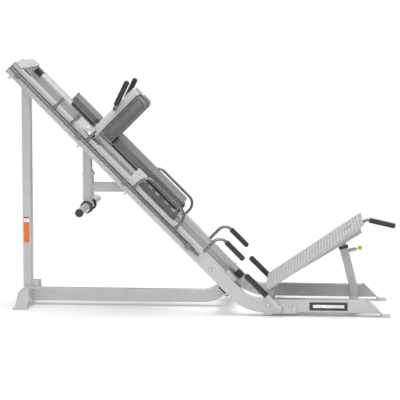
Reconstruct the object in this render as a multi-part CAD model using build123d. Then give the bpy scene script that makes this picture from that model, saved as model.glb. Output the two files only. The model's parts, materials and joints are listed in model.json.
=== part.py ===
"""Hack squat machine: a plate-loaded sled on two inclined guide rods, with a tilting foot plate.

Frame: +X runs from the rear column to the foot plate, +Y to the user's left, +Z up.
The origin is on the floor, under the middle of the machine. All sizes are in millimetres.
Rail coordinates (s, y, n): s down the slope, n square to the rails, from their lower edge.
Plate coordinates (p, y, q): p up the foot plate, q square to it, from its lower top edge.
"""
import math
import os

from build123d import *

# ---- driving dimensions -------------------------------------------------------------------
RAIL_TOP_X = -1103.5      # upper end of the rails' lower edge
RAIL_TOP_Z = 1375.0
RAIL_ANGLE = 45.0         # slope of the rails, degrees
TUBE_H = 76.0             # 76 x 51 mm main tubing
TUBE_W = 51.0
TUBE_WALL = 4.0
TUBE_CORNER = 6.0         # outer corner radius of the main tubing
RAIL_Y = 294.5            # centre of each rail, from the middle plane
RAIL_START = -33.0        # rail ends, along s
RAIL_END = 1800.0
BEND_R = 225.0            # bend between rail and base tube
BASE_Z = 58.0             # centre of the base tubes
SPLICE_X = 456.0          # joint of rail bend and base tube
FRONT_X = 1026.0          # lower front corner of the base tubes

SLOT_LOW = 29.0           # slot in each rail's outer wall, behind the safety rod
SLOT_HIGH = 53.0
SLOT_END = 1459.0

GUIDE_Y = 246.0           # chrome guide rods
GUIDE_N = 58.0
GUIDE_R = 15.0
GUIDE_START = -24.0
GUIDE_END = 1840.0

SAFETY_Y = 329.5          # safety rods, outside the rails
SAFETY_N = 41.0
ROD_R = 8.0
SAFETY_END = 1496.0
PEG_S = (308.0, 440.0, 572.0)
PEG_TOP = 132.0
LOOP_S = (955.0, 1290.0)
LOOP_N = 163.0
BEARING_S = (14.0, 506.0, 880.0, 1400.0)
FIT = 0.1                 # radial clearance of shafts in their bores

COLUMN_X = -1063.0        # rear column, 50 x 76 mm
REAR_BEAM_Z = 62.0
CROSS_S = 1750.0          # lower crossmember between the rails
CROSS_N = (-20.0, 31.0)

DECK_LOW = 80.0           # carriage frame, just above the rails
DECK_HIGH = 105.0
CROSS_TUBES = ((538, 590, 290), (1040, 1090, 268), (1180, 1230, 268))   # s, s, half width
BEARING_SPANS = ((522, 640), (984, 1253))
BACK_PAD = ((676, -140, 118), (1228, 140, 182))     # opposite corners
HEAD_PAD = ((332, -100, 122), (534, 100, 172))
SHOULDER_S = (598.0, 672.0)
SHOULDER_N = (118.0, 427.0)
SHOULDER_Y = (50.0, 170.0)
RACK_S = (965.0, 1253.0)  # notched side strips over the lower bearings
RACK_TEETH = ((984, 1008), (1036, 1064), (1092, 1136), (1164, 1192), (1220, 1245))
ARM_S = (540.0, 588.0)    # tubes behind the shoulder pads
HANDLE_S = 552.0          # elbow of each shoulder handle
HANDLE_N = 280.0
HANDLE_Y = 224.0
HANDLE_TILT = 64.0        # slope of its grip, degrees from level
HORN_X = -697.0           # weight horns
HORN_Z = 596.0
HORN_R = 25.0
HORN_CORE_R = 24.0        # turned-down middle, inside the flanges
FLANGE_Y = (85.0, 97.0)
HORN_TIP = 395.0

HINGE_X = 392.0           # lower hinge of the foot plate
HINGE_Z = 128.0
PLATE_X = 370.0           # lower edge of the foot plate's top face
PLATE_Z = 153.0
PLATE_ANGLE = 34.2
PLATE_L = 677.0
PLATE_W = 640.0
PLATE_T = 5.0

RIB_Y = 206.0             # ribs under the plate, and the span of its hinge knuckles
KNUCKLE_Y = (220.0, 260.0)

POST_X = 884.0            # lower pivot of the support post
POST_Z = 127.0
POST_LEAN = 14.53         # degrees from upright, towards the column
POST_TOP = 236.0          # collar, measured from the pivot
POST_L = 283.0            # pivot to pivot at rest

LOWER_BAR_R = 12.5        # hand bars beside the foot plate
LOWER_Y = 366.0
LOWER_TIP = (260.0, 241.0)
LOWER_ROOT = (458.0, 46.0)
LOWER_GRIP_SHARE = 0.60   # share of the bar that its grip covers
TOP_ELBOW_P = 697.0       # elbow of the handle at the plate's upper edge
TOP_HANDLE_Q = -22.0
TOP_TIP = (1122.6, 490.0)
GRIP_R = 15.5             # all other hand grips and their bars
BAR_R = 9.0
SIDES = (("right", -1), ("left", 1))

# ---- frames of reference ------------------------------------------------------------------
SLOPE = math.radians(RAIL_ANGLE)
RAIL = Plane(
    origin=(RAIL_TOP_X, 0, RAIL_TOP_Z),
    x_dir=(math.cos(SLOPE), 0, -math.sin(SLOPE)),
    z_dir=(math.sin(SLOPE), 0, math.cos(SLOPE)),
).location
TREAD = math.radians(PLATE_ANGLE)
PLATE = Plane(
    origin=(PLATE_X, 0, PLATE_Z),
    x_dir=(math.cos(TREAD), 0, math.sin(TREAD)),
    z_dir=(-math.sin(TREAD), 0, math.cos(TREAD)),
).location
LEAN = math.radians(POST_LEAN)
POST = Plane(
    origin=(POST_X, 0, POST_Z),
    x_dir=(math.cos(LEAN), 0, math.sin(LEAN)),
    z_dir=(-math.sin(LEAN), 0, math.cos(LEAN)),
).location


# ---- small helpers ------------------------------------------------------------------------
def block(low, high):
    """A box between two corners."""
    size = [b - a for a, b in zip(low, high)]
    middle = [(a + b) / 2 for a, b in zip(low, high)]
    return Pos(*middle) * Box(*size)


def rounded(low, high, axis, radius):
    """A box between two corners, with its four edges along one axis rounded."""
    box = block(low, high)
    return fillet(box.edges().filter_by(axis), radius)


def tube_x(low, high, wall=TUBE_WALL, corner=TUBE_CORNER):
    """A square-cut box tube along the first axis, between two corners."""
    inner_low = (low[0] - 1, low[1] + wall, low[2] + wall)
    inner_high = (high[0] + 1, high[1] - wall, high[2] - wall)
    return rounded(low, high, Axis.X, corner) - block(inner_low, inner_high)


def tube_y(low, high, wall=TUBE_WALL, corner=TUBE_CORNER):
    """A square-cut box tube along Y, between two corners."""
    inner_low = (low[0] + wall, low[1] - 1, low[2] + wall)
    inner_high = (high[0] - wall, high[1] + 1, high[2] - wall)
    return rounded(low, high, Axis.Y, corner) - block(inner_low, inner_high)


def rod(start, end, radius):
    """A round bar from one point to another."""
    start = Vector(*start)
    end = Vector(*end)
    axis = end - start
    return Solid.make_cylinder(radius, axis.length, Plane(origin=start, z_dir=axis))


def bent_bar(points, bend, radius):
    """A round bar along a line with rounded corners."""
    path = FilletPolyline(*points, radius=bend)
    section = Plane(origin=path @ 0, z_dir=path % 0) * Circle(radius)
    return sweep(section, path=path)


def bent_tube(points, bend, height, width, wall):
    """A rectangular tube in an upright plane, along a line with rounded corners."""
    path = FilletPolyline(*points, radius=bend)
    hollow = Rectangle(width - 2 * wall, height - 2 * wall)
    outline = RectangleRounded(width, height, TUBE_CORNER) - hollow
    section = Plane(origin=path @ 0, x_dir=(0, 1, 0), z_dir=path % 0) * outline
    return sweep(section, path=path)


def side_plate(points, y_low, y_high):
    """A flat plate in an upright plane: an outline of (x, z) points between two Y values."""
    outline = make_face(Polyline(*[(x, 0, z) for x, z in points], close=True))
    plate = extrude(outline, amount=y_high - y_low, dir=(0, 1, 0))
    return Pos(0, y_low, 0) * plate


def grip(start, end, radius, bar):
    """A closed hand grip on the end of a bar; its cap covers the bar's end."""
    start = Vector(*start)
    end = Vector(*end)
    ahead = (end - start).normalized()
    outer = rod(tuple(start), tuple(end + ahead * 5), radius)
    outer = fillet(outer.edges().filter_by(GeomType.CIRCLE).sort_by_distance(end)[0], 12)
    return outer - rod(tuple(start - ahead), tuple(end), bar)


def bolt(point, direction, radius=6.0, height=5.0):
    """A low round bolt head standing on a face."""
    tip = [p + d * height for p, d in zip(point, direction)]
    return rod(point, tip, radius)


def on_rail(s, y, n):
    """The place in the machine's frame of a point in rail coordinates."""
    return tuple((RAIL * Pos(s, y, n)).position)


def save(name, *shapes):
    """Write one sub-part; several shapes become separate solids of one node."""
    solids = [solid for shape in shapes for solid in shape.solids()]
    shape = solids[0] if len(solids) == 1 else Compound(children=solids)
    export_step(shape, f"parts/{name}.step")


# ---- fixed frame --------------------------------------------------------------------------
def rail(side):
    """An inclined side tube, slotted along its outer wall."""
    middle = side * RAIL_Y
    half = TUBE_W / 2
    tube = tube_x((RAIL_START, middle - half, 0), (RAIL_END, middle + half, TUBE_H))
    outside = side * (RAIL_Y + half)
    slot_y = sorted((outside - side * (TUBE_WALL + 1), outside + side))
    slot = block((RAIL_START - 1, slot_y[0], SLOT_LOW), (SLOT_END, slot_y[1], SLOT_HIGH))
    return RAIL * (tube - slot)


def rail_bend(side):
    """The curved lower end of a rail, down to the splice."""
    y = side * RAIL_Y
    start = on_rail(RAIL_END, y, TUBE_H / 2)
    corner_x = start[0] + (start[2] - BASE_Z) / math.tan(SLOPE)
    points = (start, (corner_x, y, BASE_Z), (SPLICE_X, y, BASE_Z))
    return bent_tube(points, BEND_R, TUBE_H, TUBE_W, TUBE_WALL)


def base_tube(side):
    """A front floor tube, with its front end cut at 45 degrees."""
    middle = side * RAIL_Y
    half = TUBE_W / 2
    low = BASE_Z - TUBE_H / 2
    high = BASE_Z + TUBE_H / 2
    tube = tube_x((SPLICE_X, middle - half, low), (FRONT_X, middle + half, high))
    cut = side_plate(
        ((FRONT_X, low), (FRONT_X - TUBE_H - 2, high + 2), (FRONT_X + 2, high + 2), (FRONT_X + 2, low)),
        middle - half - 1,
        middle + half + 1,
    )
    return tube - cut


def splice_plate(side):
    """The cover plate over the joint of rail bend and base tube, with its small foot lip."""
    outside = RAIL_Y + TUBE_W / 2
    inner, outer = sorted((side * outside, side * (outside + 5)))
    plate = block((362, inner, 14), (550, outer, BASE_Z + TUBE_H / 2 - 1))
    foot_low, foot_high = sorted((side * (outside - 40), side * (outside + 5)))
    foot = block((364, foot_low, 6), (412, foot_high, 14))
    return plate + foot


def front_foot(side):
    """A sloped end plate that turns out into a flat floor pad with an anchor hole."""
    middle = side * RAIL_Y
    slope = side_plate(
        (
            (FRONT_X + 1, 20),
            (FRONT_X + 9, 20),
            (FRONT_X - TUBE_H + 5, 100),
            (FRONT_X - TUBE_H - 3, 100),
        ),
        middle - 32,
        middle + 32,
    )
    slope -= side_plate(
        ((FRONT_X + 1, 19), (FRONT_X - TUBE_H - 3, 99), (FRONT_X - TUBE_H - 9, 99), (FRONT_X - 6, 19)),
        middle - 33,
        middle + 33,
    )
    web = side_plate(
        ((FRONT_X + 1, 20), (FRONT_X + 9, 20), (FRONT_X + 23, 6), (FRONT_X + 15, 6)),
        middle - 32,
        middle + 32,
    )
    pad = block((FRONT_X + 9, middle - 48, 0), (FRONT_X + 66, middle + 48, 6))
    hole = Pos(FRONT_X + 42, middle, 3) * Cylinder(6, 20)
    return slope + web + pad - hole


def rear_foot(side):
    """A flared end foot of the rear crossbeam, with a toe along the floor."""
    inner, outer = sorted((side * 222, side * 230))
    plate = side_plate(
        ((-1110, 0), (-1084, 113), (-1026, 113), (-1020, 60), (-1030, 36), (-1034, 0)),
        inner,
        outer,
    )
    toe_low, toe_high = sorted((side * 176, side * 222))
    toe = block((-1122, toe_low, 0), (-1034, toe_high, 5))
    toe += block((-1122, inner, 0), (-1108, outer, 5))
    return plate + toe


def rear_crossbeam():
    """The lateral tube under the rear column."""
    return tube_y((-1084, -222, 40), (-1030, 222, 110))


def rear_column():
    """The upright rear tube, with its top cut to the slope of the rails."""
    post = rounded((COLUMN_X - 25, -38, 110), (COLUMN_X + 25, 38, 1500), Axis.Z, TUBE_CORNER)
    post -= block((COLUMN_X - 21, -34, 100), (COLUMN_X + 21, 34, 1510))
    above = RAIL * block((-300, -60, TUBE_H), (300, 60, TUBE_H + 300))
    return post - above


def top_cross_plate():
    """The plate across the rails' upper ends."""
    half = RAIL_Y + TUBE_W / 2
    return RAIL * block((RAIL_START - 6, -half, TUBE_H), (RAIL_START + 50, half, TUBE_H + 6))


def rear_beam():
    """The centre floor beam, from the column's foot up to the lower crossmember."""
    end = on_rail(CROSS_S, 0, CROSS_N[0])
    corner_x = end[0] - (end[2] - REAR_BEAM_Z) / math.tan(SLOPE)
    points = ((-1030, 0, REAR_BEAM_Z), (corner_x, 0, REAR_BEAM_Z), end)
    return bent_tube(points, 170, TUBE_H, TUBE_W, TUBE_WALL)


def lower_crossmember():
    """The tube between the rails that takes the rear beam's upper end."""
    half = RAIL_Y - TUBE_W / 2
    return RAIL * tube_y((CROSS_S - 38, -half, CROSS_N[0]), (CROSS_S + 38, half, CROSS_N[1]))


def front_crossmember():
    """The low tube between the base tubes, with the clevis and pin of the support post."""
    half = RAIL_Y - TUBE_W / 2
    tube = tube_y((862, -half, 34), (912, half, 84))
    ears = []
    for y in (-32, 26):
        ear = block((862, y, 84), (908, y + 6, POST_Z))
        ear += rod((POST_X, y, POST_Z), (POST_X, y + 6, POST_Z), 24)
        ears.append(ear)
    pin = rod((POST_X, -37, POST_Z), (POST_X, 37, POST_Z), 6)
    return tube + ears[0] + ears[1] + pin


def hinge_brackets():
    """Two upright lugs on the base tubes, with the hinge pins of the foot plate."""
    half = RAIL_Y - TUBE_W / 2
    lugs = []
    for _, side in SIDES:
        inner, outer = sorted((side * (half - 8), side * half))
        lug = block((HINGE_X - 22, inner, 40), (HINGE_X + 22, outer, HINGE_Z))
        lug += rod((HINGE_X, inner, HINGE_Z), (HINGE_X, outer, HINGE_Z), 22)
        lug += rod((HINGE_X, side * (half - 40), HINGE_Z), (HINGE_X, side * (half - 4), HINGE_Z), 10)
        lugs.append(lug)
    return lugs


def guide_rod(side):
    """A hard-chromed guide rod beside a rail."""
    y = side * GUIDE_Y
    return rod(on_rail(GUIDE_START, y, GUIDE_N), on_rail(GUIDE_END, y, GUIDE_N), GUIDE_R)


def rod_mounts():
    """The four clamps that hold the guide rods to the rails' inner walls."""
    clamps = []
    inside = RAIL_Y - TUBE_W / 2
    for _, side in SIDES:
        low, high = sorted((side * (GUIDE_Y - 21), side * inside))
        for s in (GUIDE_START, GUIDE_END - 36):
            clamp = block((s, low, GUIDE_N - 24), (s + 36, high, GUIDE_N + 17))
            clamp -= rod((s - 1, side * GUIDE_Y, GUIDE_N), (s + 37, side * GUIDE_Y, GUIDE_N), GUIDE_R)
            clamps.append(RAIL * clamp)
    return clamps


def rod_bumpers():
    """Rubber rings at both ends of each guide rod."""
    rings = []
    for _, side in SIDES:
        y = side * GUIDE_Y
        for s in (GUIDE_START + 48, GUIDE_END - 86):
            ring = rod((s, y, GUIDE_N), (s + 50, y, GUIDE_N), 21)
            rings.append(RAIL * (ring - rod((s - 1, y, GUIDE_N), (s + 51, y, GUIDE_N), GUIDE_R)))
    return rings


def safety_bearings():
    """The small pillow blocks that carry the safety rods on the rails."""
    blocks = []
    outside = RAIL_Y + TUBE_W / 2
    for _, side in SIDES:
        low, high = sorted((side * outside, side * (SAFETY_Y + 12)))
        y = side * SAFETY_Y
        for s in BEARING_S:
            shape = block((s, low, SAFETY_N - 20), (s + 28, high, SAFETY_N + 14))
            shape -= rod((s - 1, y, SAFETY_N), (s + 29, y, SAFETY_N), ROD_R + FIT)
            blocks.append(RAIL * shape)
    return blocks


def rail_end_caps():
    """Black plastic plugs that close the rails' upper ends."""
    half = TUBE_W / 2
    caps = []
    for _, side in SIDES:
        y = side * RAIL_Y
        caps.append(RAIL * block((RAIL_START - 4, y - half, 0), (RAIL_START, y + half, TUBE_H - 6)))
    return caps


def rail_end_plates():
    """Light steel plates over the end plugs."""
    plates = []
    for _, side in SIDES:
        y = side * RAIL_Y
        low = (RAIL_START - 9, y - 23, 8)
        high = (RAIL_START - 4, y + 23, TUBE_H - 10)
        plates.append(RAIL * block(low, high))
    return plates


def upper_handle(side):
    """The bent hand bar that stands on a rail beside the user's hip."""
    y = side * RAIL_Y
    points = [on_rail(*p) for p in ((1502, y, TUBE_H), (1502, y, 208), (1694, y, 208))]
    return bent_bar(points, 50, BAR_R)


def upper_grip(side):
    """The grip of an upper handle."""
    y = side * RAIL_Y
    return grip(on_rail(1554, y, 208), on_rail(1694, y, 208), GRIP_R, BAR_R)


def lower_handle(side):
    """The straight hand bar that rises beside the foot plate, from the splice plate."""
    wall = side * (RAIL_Y + TUBE_W / 2 + 5)
    y = side * LOWER_Y
    points = (
        (LOWER_ROOT[0], wall, LOWER_ROOT[1]),
        (LOWER_ROOT[0], y, LOWER_ROOT[1]),
        (LOWER_TIP[0], y, LOWER_TIP[1]),
    )
    return bent_bar(points, 16, LOWER_BAR_R)


def lower_grip(side):
    """The grip of a lower handle."""
    tip = Vector(LOWER_TIP[0], side * LOWER_Y, LOWER_TIP[1])
    root = Vector(LOWER_ROOT[0], side * LOWER_Y, LOWER_ROOT[1])
    start = tip + (root - tip) * LOWER_GRIP_SHARE
    return grip(tuple(start), tuple(tip), 17, LOWER_BAR_R)


def frame_bolts():
    """Bolt heads and studs on the fixed frame."""
    heads = []
    top = TUBE_H + 6
    outside = RAIL_Y + TUBE_W / 2
    down = tuple(-c for c in (math.sin(SLOPE), 0, math.cos(SLOPE)))
    up = tuple(-c for c in down)
    back = (-math.cos(SLOPE), 0, math.sin(SLOPE))
    for _, side in SIDES:
        out = (0, side, 0)
        y = side * RAIL_Y
        for s in (-24, 4):
            heads.append(bolt(on_rail(s, y, top), up, 5.5, 5))
        for n in (27, 43):
            heads.append(bolt(on_rail(RAIL_START - 9, y, n), back, 5.5, 6))
        for s in (0, 558, 945, 1770):
            heads.append(bolt(on_rail(s, y, 0), down, 6, 20))
        for x in (389, 519):
            heads.append(bolt((x, side * (outside + 5), BASE_Z + 2), out, 10, 7))
        heads.append(bolt((519, side * (RAIL_Y - TUBE_W / 2), BASE_Z + 2), (0, -side, 0), 9, 6))
        heads.append(bolt(on_rail(1603, side * outside, 61), out, 8, 8))
        heads.append(bolt(on_rail(1603, side * outside, 30), out, 11, 12))
        heads.append(bolt(on_rail(1720, y, TUBE_H), up, 8, 9))
    for z in (52, 74, 96):
        for y in (-52, 52):
            heads.append(bolt((-1030, y, z), (1, 0, 0), 7, 7))
    return heads


# ---- safety stops -------------------------------------------------------------------------
def safety_shaft(side):
    """A rotating safety rod with its stop collars."""
    y = side * SAFETY_Y
    shaft = rod((RAIL_START + 2, y, SAFETY_N), (SAFETY_END, y, SAFETY_N), ROD_R)
    for s in PEG_S + LOOP_S:
        shaft += rod((s + 11, y, SAFETY_N), (s + 27, y, SAFETY_N), 11.5)
    for s in (PEG_S[2], LOOP_S[0]):
        shaft += rod((s - 27, y, SAFETY_N), (s - 11, y, SAFETY_N), 11.5)
    return RAIL * shaft


def safety_pegs(side):
    """The three stop pegs of a safety rod."""
    y = side * SAFETY_Y
    shaft = rod((0, y, SAFETY_N), (SAFETY_END, y, SAFETY_N), ROD_R)
    pegs = []
    for s in PEG_S:
        peg = rod((s, y, SAFETY_N), (s, y, PEG_TOP), ROD_R)
        peg = fillet(peg.edges().filter_by(GeomType.CIRCLE).sort_by(Axis.Z)[-1], 3)
        pegs.append(RAIL * (peg - shaft))
    return pegs


def safety_loop(side):
    """The long loop handle that turns a safety rod."""
    y = side * SAFETY_Y
    first, last = LOOP_S
    points = ((first, y, SAFETY_N), (first, y, LOOP_N), (last, y, LOOP_N), (last, y, SAFETY_N))
    loop = bent_bar(points, 60, ROD_R)
    return RAIL * (loop - rod((0, y, SAFETY_N), (SAFETY_END, y, SAFETY_N), ROD_R))


# ---- carriage -----------------------------------------------------------------------------
def carriage_cross_tubes():
    """The lateral tubes of the sliding carriage."""
    return [
        RAIL * tube_y((low, -half, DECK_LOW), (high, half, DECK_HIGH), 3, 4)
        for low, high, half in CROSS_TUBES
    ]


def carriage_long_tubes():
    """The lengthwise tubes of the carriage, between its cross tubes."""
    runs = [(345, 538, -20, 20), (590, 1040, -20, 20)]
    for side in (-1, 1):
        low, high = sorted((side * 95, side * 135))
        runs.append((590, 1040, low, high))
        runs.append((1090, 1180, low, high))
    return [RAIL * tube_x((a, low, DECK_LOW), (b, high, DECK_HIGH), 3, 4) for a, b, low, high in runs]


def bearing_blocks():
    """The linear bearing housings that run on the guide rods."""
    blocks = []
    for _, side in SIDES:
        y = side * GUIDE_Y
        for first, last in BEARING_SPANS:
            body = block((first, y - 20, GUIDE_N - 20), (last, y + 20, DECK_LOW))
            bore = rod((first - 1, y, GUIDE_N), (last + 1, y, GUIDE_N), GUIDE_R + FIT)
            blocks.append(RAIL * (body - bore))
        blocks.append(RAIL * bearing_rack(side))
    return blocks


def bearing_rack(side):
    """The notched strip that closes the outside of the lower bearings."""
    low, high = sorted((side * 268, side * 276))
    rack = block((RACK_S[0], low, 78), (RACK_S[1], high, 112))
    for first, last in RACK_TEETH:
        rack += block((first, low, 112), (last, high, 123))
    return rack


def catch_plates():
    """The side plates of the carriage that carry the catch rollers."""
    plates = []
    for _, side in SIDES:
        low, high = sorted((side * 290, side * 298))
        plate = block((455, low, 84), (572, high, 126))
        plates.append(RAIL * plate)
        low, high = sorted((side * 268, side * 276))
        plates.append(RAIL * block((897, low, 82), (965, high, 150)))
    return plates


def catch_rollers():
    """The rollers over the rails that meet the stop pegs."""
    rollers = []
    for _, side in SIDES:
        roller = rod((553, side * 298, 95), (553, side * 318, 95), 11)
        roller += rod((520, side * 298, 110), (520, side * 304, 110), 8)
        rollers.append(RAIL * roller)
    return rollers


def shoulder_arms():
    """The two square tubes that carry the shoulder pads."""
    arms = []
    for _, side in SIDES:
        low, high = sorted((side * 86, side * 134))
        arm = rounded((ARM_S[0], low, DECK_HIGH), (ARM_S[1], high, 432), Axis.Z, 5)
        hollow = block((ARM_S[0] + 4, low + 4, DECK_HIGH + 4), (ARM_S[1] - 4, high - 4, 428))
        arms.append(RAIL * (arm - hollow))
    return arms


def handle_direction():
    """Direction of the shoulder handles' grips, in the machine's frame."""
    tilt = math.radians(HANDLE_TILT)
    return Vector(math.cos(tilt), 0, math.sin(tilt))


def shoulder_handle(side):
    """A bar out from a shoulder arm that turns up into a hand grip."""
    elbow = Vector(*on_rail(HANDLE_S, side * HANDLE_Y, HANDLE_N))
    tip = elbow + handle_direction() * 178
    return bent_bar((on_rail(HANDLE_S, side * 134, HANDLE_N), tuple(elbow), tuple(tip)), 18, BAR_R)


def shoulder_grip(side):
    """The grip of a shoulder handle."""
    elbow = Vector(*on_rail(HANDLE_S, side * HANDLE_Y, HANDLE_N))
    start = elbow + handle_direction() * 26
    tip = elbow + handle_direction() * 178
    return grip(tuple(start), tuple(tip), GRIP_R, BAR_R)


def shoulder_pad(side):
    """A shoulder pad, as a plain closed form."""
    low, high = sorted((side * SHOULDER_Y[0], side * SHOULDER_Y[1]))
    pad = block((SHOULDER_S[0], low, SHOULDER_N[0]), (SHOULDER_S[1], high, SHOULDER_N[1]))
    edges = pad.edges().filter_by(Axis.Z).sort_by(Axis.X)[-2:]
    return RAIL * fillet(edges, 14)


def flat_pad(corners, radius):
    """A flat pad with rounded corners, as a plain closed form."""
    pad = block(*corners)
    return RAIL * fillet(pad.edges().filter_by(Axis.Z), radius)


def pad_boards():
    """The boards behind the four pads."""
    boards = []
    s_low, y_low, n_low = BACK_PAD[0]
    s_high, y_high, _ = BACK_PAD[1]
    boards.append(block((s_low + 12, y_low + 12, DECK_HIGH), (s_high - 12, y_high - 12, n_low)))
    s_low, y_low, n_low = HEAD_PAD[0]
    s_high, y_high, _ = HEAD_PAD[1]
    boards.append(block((s_low + 12, y_low + 12, DECK_HIGH), (s_high - 12, y_high - 12, n_low)))
    for _, side in SIDES:
        low, high = sorted((side * (SHOULDER_Y[0] + 10), side * (SHOULDER_Y[1] - 10)))
        first = (ARM_S[1], low, SHOULDER_N[0] + 10)
        boards.append(block(first, (SHOULDER_S[0], high, SHOULDER_N[1] - 10)))
    return [RAIL * board for board in boards]


def weight_post():
    """The upright tube that hangs from the carriage and carries the weight horns."""
    post = rounded((HORN_X - 29, -25, 560), (HORN_X + 21, 25, 1200), Axis.Z, 5)
    post -= block((HORN_X - 25, -21, 564), (HORN_X + 17, 21, 1210))
    post -= rod((HORN_X, -30, HORN_Z), (HORN_X, 30, HORN_Z), HORN_CORE_R)
    above = RAIL * block((0, -60, DECK_LOW), (1500, 60, DECK_LOW + 400))
    return post - above


def weight_beam():
    """The level strut from the weight post back to the carriage, with its bolting plate."""
    face = HORN_X + 21
    beam = tube_x((face + 7, -22, 681), (-200, 22, 735), corner=5)
    plate = block((face, -32, 634), (face + 7, 32, 808))
    above = RAIL * block((0, -60, DECK_LOW), (1800, 60, DECK_LOW + 400))
    return beam - above + plate


def weight_horns():
    """The bar through the post whose two ends take the weight plates."""
    bar = rod((HORN_X, -FLANGE_Y[1], HORN_Z), (HORN_X, FLANGE_Y[1], HORN_Z), HORN_CORE_R)
    for _, side in SIDES:
        bar += rod((HORN_X, side * FLANGE_Y[1], HORN_Z), (HORN_X, side * HORN_TIP, HORN_Z), HORN_R)
    return bar


def horn_flanges():
    """The rubber stop rings at the inner ends of the horns."""
    rings = []
    for _, side in SIDES:
        first, last = (side * y for y in FLANGE_Y)
        ring = rod((HORN_X, first, HORN_Z), (HORN_X, last, HORN_Z), 37)
        rings.append(fillet(ring.edges().filter_by(GeomType.CIRCLE), 3) - weight_horns())
    return rings


def horn_caps():
    """The end caps of the weight horns."""
    caps = []
    for _, side in SIDES:
        first = (HORN_X, side * HORN_TIP, HORN_Z)
        caps.append(rod(first, (HORN_X, side * (HORN_TIP + 8), HORN_Z), HORN_CORE_R))
    return caps


def carriage_bolts():
    """Bolt heads of the carriage."""
    heads = []
    up = (math.sin(SLOPE), 0, math.cos(SLOPE))
    for z in (655, 787):
        for y in (-22, 22):
            heads.append(bolt((HORN_X + 28, y, z), (1, 0, 0), 7, 8))
            heads.append(bolt((HORN_X - 29, y * 0.7, z), (-1, 0, 0), 6, 5))
    for _, side in SIDES:
        heads.append(bolt(on_rail(924, side * 276, 130), (0, side, 0), 8, 6))
        for s in (1053, 1077, 1193, 1217):
            heads.append(bolt(on_rail(s, side * 246, DECK_HIGH), up, 6, 5))
    return heads


# ---- foot plate and its support -----------------------------------------------------------
def foot_plate():
    """The tread plate, with clipped upper corners and turned-down edges."""
    half = PLATE_W / 2
    corner = 26
    outline = Polyline(
        (0, -half), (PLATE_L - corner, -half), (PLATE_L, -half + corner),
        (PLATE_L, half - corner), (PLATE_L - corner, half), (0, half), close=True,
    )
    sheet = Pos(0, 0, -PLATE_T) * extrude(make_face(outline), amount=PLATE_T)
    slot = Pos(PLATE_L - 105, 0, 0) * Box(50, 10, 30)
    for side in (-1, 1):
        low, high = sorted((side * (half - 4), side * half))
        sheet += block((0, low, -14), (PLATE_L - corner - 2, high, -PLATE_T))
    return PLATE * (sheet - slot)


def plate_ribs():
    """The tapered ribs and crosspieces under the tread plate."""
    outline = ((34, -PLATE_T), (640, -PLATE_T), (640, -46), (600, -46), (34, -22))
    ribs = [side_plate(outline, -RIB_Y - 6, -RIB_Y), side_plate(outline, RIB_Y, RIB_Y + 6)]
    crosses = [
        block((300, -RIB_Y, -22), (340, RIB_Y, -PLATE_T)),
        block((596, -RIB_Y, -40), (640, RIB_Y, -PLATE_T)),
    ]
    return [PLATE * shape for shape in ribs + crosses]


def plate_knuckle(side):
    """A hinge knuckle of the foot plate, with its arm to the rib."""
    inner = KNUCKLE_Y[0]
    outer = KNUCKLE_Y[1]
    knuckle = rod((HINGE_X, side * inner, HINGE_Z), (HINGE_X, side * outer, HINGE_Z), 16)
    low, high = sorted((side * inner, side * (inner + 8)))
    knuckle += PLATE * block((0, low, -34), (60, high, -PLATE_T))
    low, high = sorted((side * inner, side * (RIB_Y + 6)))
    knuckle += PLATE * block((36, low, -22), (60, high, -PLATE_T))
    bore = rod((HINGE_X, side * (inner - 40), HINGE_Z), (HINGE_X, side * 300, HINGE_Z), 10 + FIT)
    return knuckle - bore


def post_bracket():
    """The plate under the tread with the two ears of the support post's upper pin."""
    bracket = PLATE * block((340, -32, -14), (596, 32, -PLATE_T))
    pivot = Vector(*post_point(POST_L))
    for y in (-32, 26):
        ear = rod((pivot.X, y, pivot.Z), (pivot.X, y + 6, pivot.Z), 20)
        ear += block((pivot.X - 20, y, pivot.Z), (pivot.X + 20, y + 6, pivot.Z + 60))
        ear -= PLATE * block((-100, -300, -PLATE_T), (900, 300, 300))
        ear -= rod((pivot.X, y - 1, pivot.Z), (pivot.X, y + 7, pivot.Z), 8.5)
        bracket += ear
    return bracket


def post_point(distance):
    """A point on the support post's axis, by its distance from the lower pivot."""
    return tuple((POST * Pos(0, 0, distance)).position)


def top_handle_points():
    """Root, elbow and tip of the handle at the plate's upper edge."""
    root = (PLATE * Pos(640, 0, TOP_HANDLE_Q)).position
    elbow = (PLATE * Pos(TOP_ELBOW_P, 0, TOP_HANDLE_Q)).position
    return root, elbow, Vector(TOP_TIP[0], 0, TOP_TIP[1])


def top_handle():
    """The bar of the handle at the plate's upper edge."""
    return bent_bar([tuple(point) for point in top_handle_points()], 24, BAR_R)


def top_grip():
    """The grip of the foot plate's handle."""
    _, elbow, tip = top_handle_points()
    start = elbow + (tip - elbow) * 0.1
    return grip(tuple(start), tuple(tip), GRIP_R, BAR_R)


def outer_post():
    """The lower tube of the telescoping support post, with the barrel of its pull pin."""
    tube = rounded((-25, -25, 10), (25, 25, POST_TOP), Axis.Z, 4)
    tube -= block((-21, -21, 9), (21, 21, POST_TOP + 1))
    lug = rod((0, -25, 0), (0, 25, 0), 25) + block((-25, -25, 0), (25, 25, 10))
    bore = rod((0, -26, 0), (0, 26, 0), 6 + FIT)
    sight = rod((0, -26, 55), (0, -20, 55), 4)
    barrel = rod((25, 0, POST_TOP - 22), (72, 0, POST_TOP - 22), 11)
    barrel -= rod((20, 0, POST_TOP - 22), (80, 0, POST_TOP - 22), 5 + FIT)
    shape = tube + lug - bore - sight
    shape -= rod((10, 0, POST_TOP - 22), (30, 0, POST_TOP - 22), 5 + FIT)
    return POST * (shape + barrel)


def post_collar():
    """The black guide collar on top of the outer tube."""
    ring = rounded((-28, -28, POST_TOP), (28, 28, POST_TOP + 12), Axis.Z, 6)
    return POST * (ring - block((-20.5, -20.5, POST_TOP - 1), (20.5, 20.5, POST_TOP + 13)))


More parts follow.
